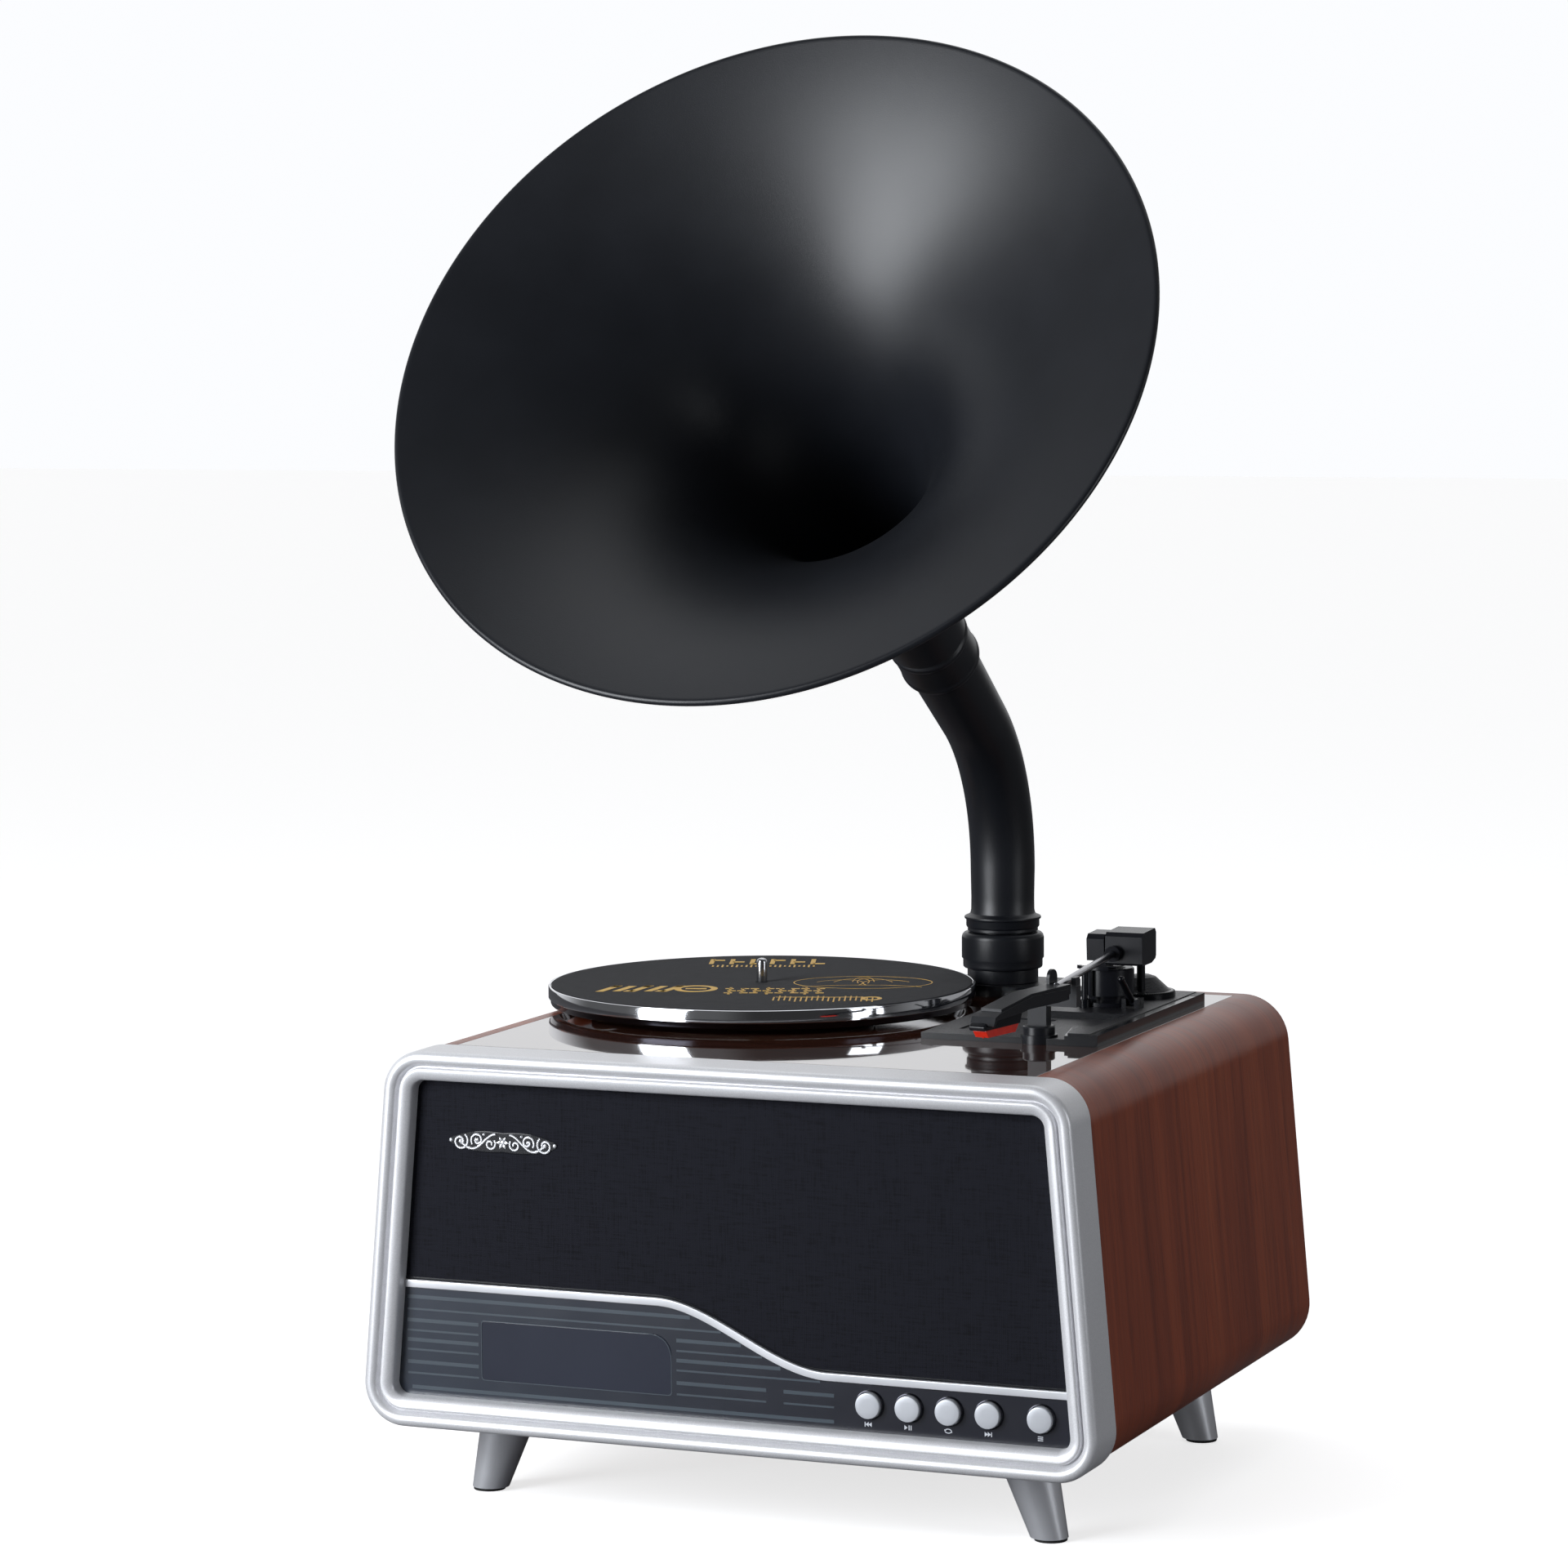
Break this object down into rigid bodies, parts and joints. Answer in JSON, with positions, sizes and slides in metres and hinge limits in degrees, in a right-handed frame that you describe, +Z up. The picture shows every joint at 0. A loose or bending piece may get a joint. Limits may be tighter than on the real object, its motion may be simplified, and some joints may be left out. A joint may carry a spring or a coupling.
{
  "type": "horn record player",
  "caption": "Retro record player with a tapered wood cabinet, silver front frame, belt-driven platter, tonearm console and a large swivelling black horn.",
  "frame": {"origin": "middle of the footprint of the whole object's bounding box, on the surface the feet stand on", "axes": "+X to the right seen from the front, +Y from the front face towards the back, +Z up"},
  "size_m": [0.5328, 0.5982, 0.9301],
  "materials": {
    "veneer": "satin",
    "silver_frame": "satin",
    "fibreboard": "matte",
    "grille_cloth": "matte",
    "bright_trim": "satin",
    "panel_print": "satin",
    "display_lens": "gloss",
    "display_parts": "matte",
    "badge_metal": "polished",
    "circuit_board": "satin",
    "button_chrome": "polished",
    "button_silver": "satin",
    "speaker_black": "matte",
    "back_black": "matte",
    "screw_black": "satin",
    "connector_black": "satin",
    "jack_brass": "polished",
    "port_steel": "satin",
    "supply_case": "satin",
    "foot_silver": "satin",
    "pad_rubber": "matte",
    "deck_gloss": "gloss",
    "platter_metal": "polished",
    "mat_felt": "matte",
    "spindle_steel": "polished",
    "drum_plastic": "satin",
    "bearing_brass": "satin",
    "motor_case": "satin",
    "pulley_brass": "polished",
    "belt_rubber": "matte",
    "console_black": "satin",
    "arm_black": "satin",
    "arm_steel": "polished",
    "stylus_red": "gloss",
    "horn_black": "satin",
    "socket_black": "satin",
    "driver_black": "matte"
  },
  "bodies": {
    "cabinet": {"cabinet_shell": "veneer", "front_bezel": "silver_frame", "baffle_board": "fibreboard", "grille_panel": "grille_cloth", "trim_strip": "bright_trim", "control_panel": "panel_print", "display_window": "display_lens", "display_module": "display_parts", "badge_plaque": "badge_metal", "control_board": "circuit_board", "button_rings": "button_chrome", "speaker_left": "speaker_black", "speaker_right": "speaker_black", "back_panel": "back_black", "back_screws": "screw_black", "connector_plate": "connector_black", "power_inlet": "connector_black", "line_jacks": "jack_brass", "aux_jack": "connector_black", "usb_port": "port_steel", "main_board": "circuit_board", "power_supply": "supply_case", "foot_front_left": "foot_silver", "foot_front_right": "foot_silver", "foot_rear_left": "foot_silver", "foot_rear_right": "foot_silver", "foot_pads": "pad_rubber", "deck_panel": "deck_gloss", "bearing_sleeve": "bearing_brass", "motor": "motor_case", "drive_belt": "belt_rubber", "console_plate": "console_black", "rest_post": "arm_black", "pivot_base": "arm_black", "horn_socket": "socket_black", "horn_collar": "socket_black", "horn_driver": "driver_black"},
    "platter": {"platter": "platter_metal", "platter_mat": "mat_felt", "spindle": "spindle_steel", "sub_platter": "drum_plastic"},
    "pulley": {"motor_pulley": "pulley_brass"},
    "horn": {"horn_pipe": "horn_black", "horn_bell": "horn_black"},
    "arm_mount": {"gimbal_bracket": "arm_black", "gimbal_pin": "arm_steel"},
    "arm": {"arm_housing": "arm_black", "arm_tube": "arm_steel", "headshell": "arm_black", "cartridge": "arm_black", "stylus": "stylus_red"},
    "lever": {"cue_lever": "arm_black"},
    "lift": {"cue_lift": "arm_black"},
    "key_previous": {"button_previous": "button_silver"},
    "key_play": {"button_play": "button_silver"},
    "key_repeat": {"button_repeat": "button_silver"},
    "key_next": {"button_next": "button_silver"},
    "key_mode": {"button_mode": "button_silver"},
    "rocker": {"power_switch": "connector_black"}
  },
  "joints": [
    {"name": "horn_swivel", "type": "hinge", "parent": "cabinet", "child": "horn", "pos_m": [0.02316, 0.24607, 0.3145], "axis": [0, 0, 1], "range_deg": [-90, 90]},
    {"name": "platter_spin", "type": "hinge", "parent": "cabinet", "child": "platter", "pos_m": [-0.10284, 0.12107, 0.2945], "axis": [0, 0, 1], "continuous": true},
    {"name": "pulley_spin", "type": "hinge", "parent": "cabinet", "child": "pulley", "pos_m": [-0.19131, 0.05912, 0.2945], "axis": [0, 0, 1], "continuous": true},
    {"name": "arm_swing", "type": "hinge", "parent": "cabinet", "child": "arm_mount", "pos_m": [0.12916, 0.15907, 0.3145], "axis": [0, 0, -1], "range_deg": [0, 69]},
    {"name": "arm_lift", "type": "hinge", "parent": "arm_mount", "child": "arm", "pos_m": [0.13916, 0.15907, 0.3395], "axis": [-1, 0, 0], "range_deg": [0, 10]},
    {"name": "lever_tilt", "type": "hinge", "parent": "cabinet", "child": "lever", "pos_m": [0.15216, 0.14207, 0.3065], "axis": [1, 0, 0], "range_deg": [0, 25]},
    {"name": "lift_slide", "type": "slide", "parent": "cabinet", "child": "lift", "axis": [0, 0, -1], "range_m": [0, 0.00305]},
    {"name": "press_previous", "type": "slide", "parent": "cabinet", "child": "key_previous", "axis": [0, 1, 0], "range_m": [0, 0.0015], "stiffness_N_per_m": 800},
    {"name": "press_play", "type": "slide", "parent": "cabinet", "child": "key_play", "axis": [0, 1, 0], "range_m": [0, 0.0015], "stiffness_N_per_m": 800},
    {"name": "press_repeat", "type": "slide", "parent": "cabinet", "child": "key_repeat", "axis": [0, 1, 0], "range_m": [0, 0.0015], "stiffness_N_per_m": 800},
    {"name": "press_next", "type": "slide", "parent": "cabinet", "child": "key_next", "axis": [0, 1, 0], "range_m": [0, 0.0015], "stiffness_N_per_m": 800},
    {"name": "press_mode", "type": "slide", "parent": "cabinet", "child": "key_mode", "axis": [0, 1, 0], "range_m": [0, 0.0015], "stiffness_N_per_m": 800},
    {"name": "rocker_tilt", "type": "hinge", "parent": "cabinet", "child": "rocker", "pos_m": [0.03316, 0.28807, 0.1175], "axis": [-1, 0, 0], "range_deg": [0, 10]}
  ],
  "couplings": [
    {"joint": "pulley_spin", "follows": "platter_spin", "ratio": 10.714},
    {"joint": "lift_slide", "follows": "lever_tilt", "m_per_rad": 0.0068755}
  ]
}
